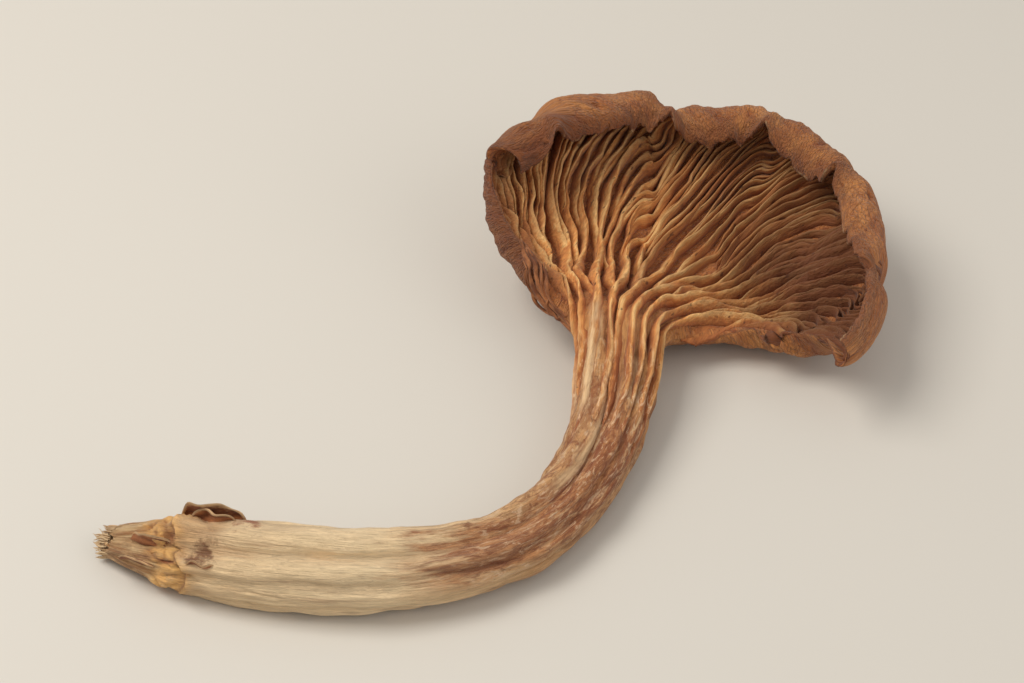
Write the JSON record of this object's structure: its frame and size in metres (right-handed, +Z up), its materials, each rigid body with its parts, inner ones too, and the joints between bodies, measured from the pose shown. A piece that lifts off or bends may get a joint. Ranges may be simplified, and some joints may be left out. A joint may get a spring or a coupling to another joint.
{
  "type": "dried oyster mushroom",
  "caption": "Dried oyster mushroom: a curved furrowed stem that opens into a fan shaped cap with gills, its margin rolled in, lying gills up.",
  "frame": {"origin": "on the surface it lies on, under the middle of its bounding box", "axes": "+Z up, away from the surface, the way the gills face; +X along the longest extent, from the cut end of the stem towards the cap's right edge; +Y from the stem's bend towards the far margin of the cap"},
  "size_m": [0.0746, 0.0658, 0.0165],
  "materials": {
    "dried_skin": "matte"
  },
  "bodies": {
    "root": {"oyster_mushroom": "dried_skin"}
  },
  "joints": []
}
